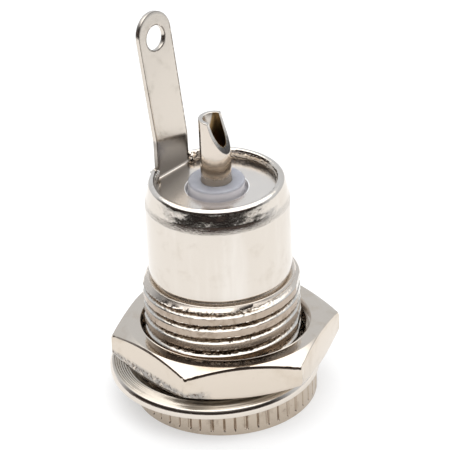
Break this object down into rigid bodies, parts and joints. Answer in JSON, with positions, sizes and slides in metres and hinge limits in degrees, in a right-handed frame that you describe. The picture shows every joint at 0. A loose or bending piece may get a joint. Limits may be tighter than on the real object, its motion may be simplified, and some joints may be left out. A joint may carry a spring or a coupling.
{
  "type": "panel mount dc barrel jack",
  "caption": "Metal panel-mount DC barrel socket: knurled head, threaded body with flats, hex nut, flat washer, folded solder tag with an eye and a scooped solder cup on a nylon bush.",
  "frame": {"origin": "centre of the socket's mouth, on the front face of the knurled head", "axes": "+Z along the socket's axis towards the solder terminals, +Y away from the picture's viewer"},
  "size_m": [0.0162, 0.015, 0.0278],
  "materials": {
    "nickel_plate": "bright nickel plate over brass",
    "washer_steel": "nickel plated, turned rings on the face",
    "spring_bronze": "spring bronze, satin",
    "nylon": "translucent nylon"
  },
  "bodies": {
    "root": {"shell": "nickel_plate", "hex_nut": "nickel_plate", "washer": "washer_steel", "solder_tag": "nickel_plate", "centre_contact": "nickel_plate", "contact_sleeve": "spring_bronze", "insulator_bush": "nylon"}
  },
  "joints": []
}
